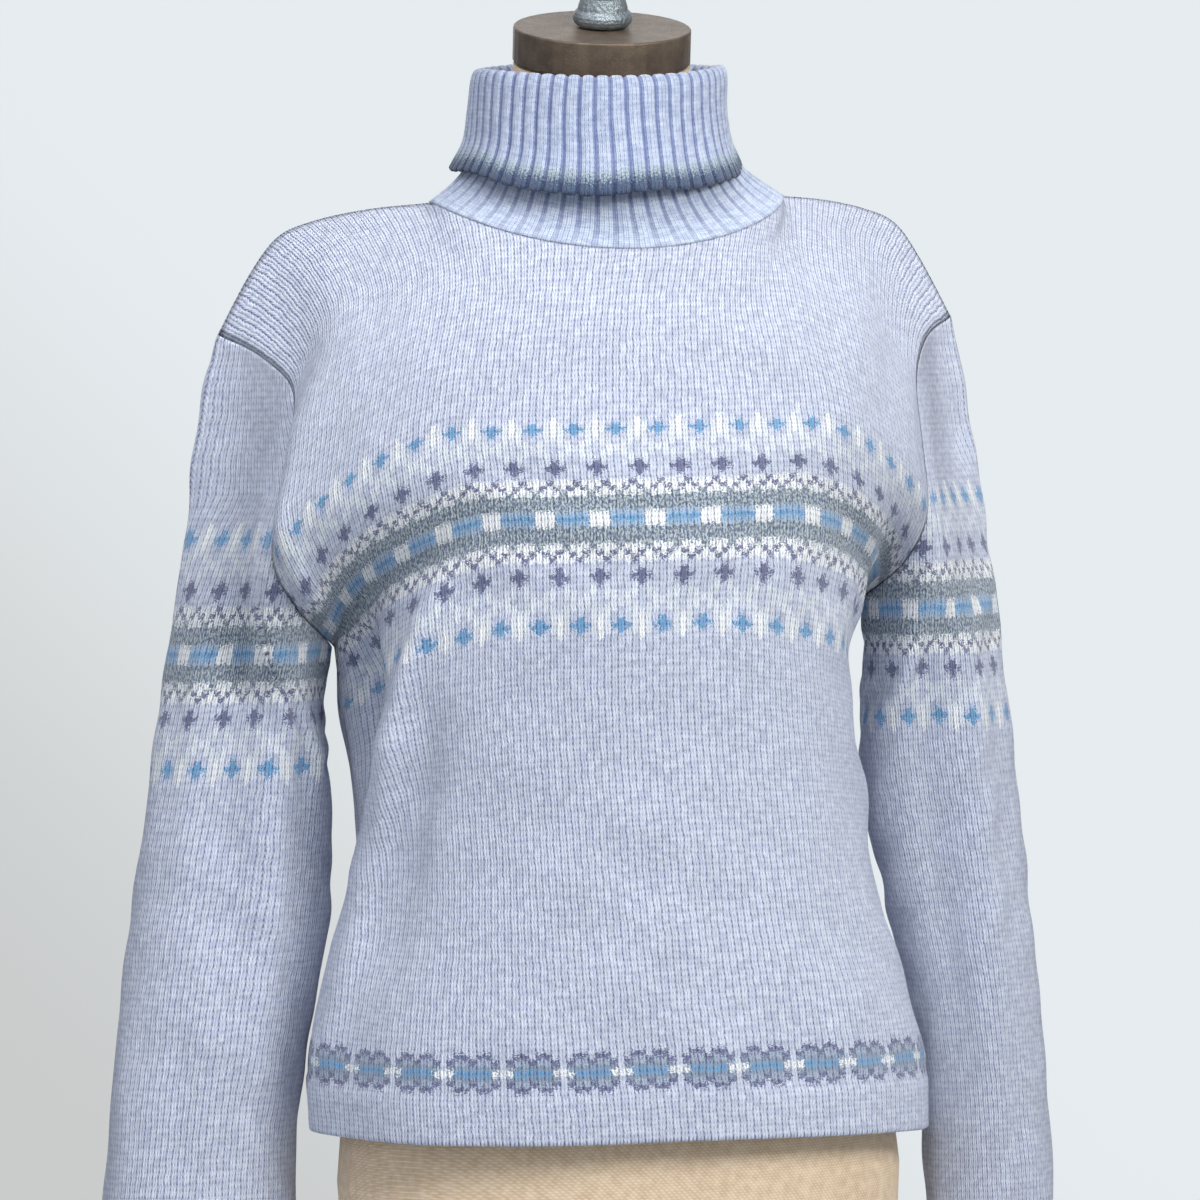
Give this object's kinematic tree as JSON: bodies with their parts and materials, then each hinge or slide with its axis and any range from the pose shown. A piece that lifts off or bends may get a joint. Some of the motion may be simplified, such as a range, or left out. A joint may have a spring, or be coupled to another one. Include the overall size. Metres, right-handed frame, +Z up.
{
  "type": "drop-shoulder turtleneck sweater with Fair Isle bands on a limbless dress form",
  "caption": "Knitted turtleneck sweater with bands of a small figured pattern, worn by a limbless dress form on a round-based stand.",
  "frame": {"origin": "middle of the stand's flat underside", "axes": "+Z up, -Y the way the front faces, +X towards the wearer's left sleeve"},
  "size_m": [0.586, 0.34, 1.5162],
  "materials": {
    "knit": "heathered lavender-blue stocking stitch with Fair Isle bands",
    "rib": "heathered lavender-blue wide rib",
    "linen": "plain beige linen cover",
    "bronze": "satin brown",
    "cast_metal": "grey, satin, lightly worn"
  },
  "bodies": {
    "root": {"sweater_front": "knit", "sweater_back": "knit", "sleeve_left": "knit", "sleeve_right": "knit", "sweater_collar": "rib", "form_torso": "linen", "neck_cap": "bronze", "finial": "cast_metal", "stand_base": "cast_metal", "stand_pole": "cast_metal"}
  },
  "joints": []
}
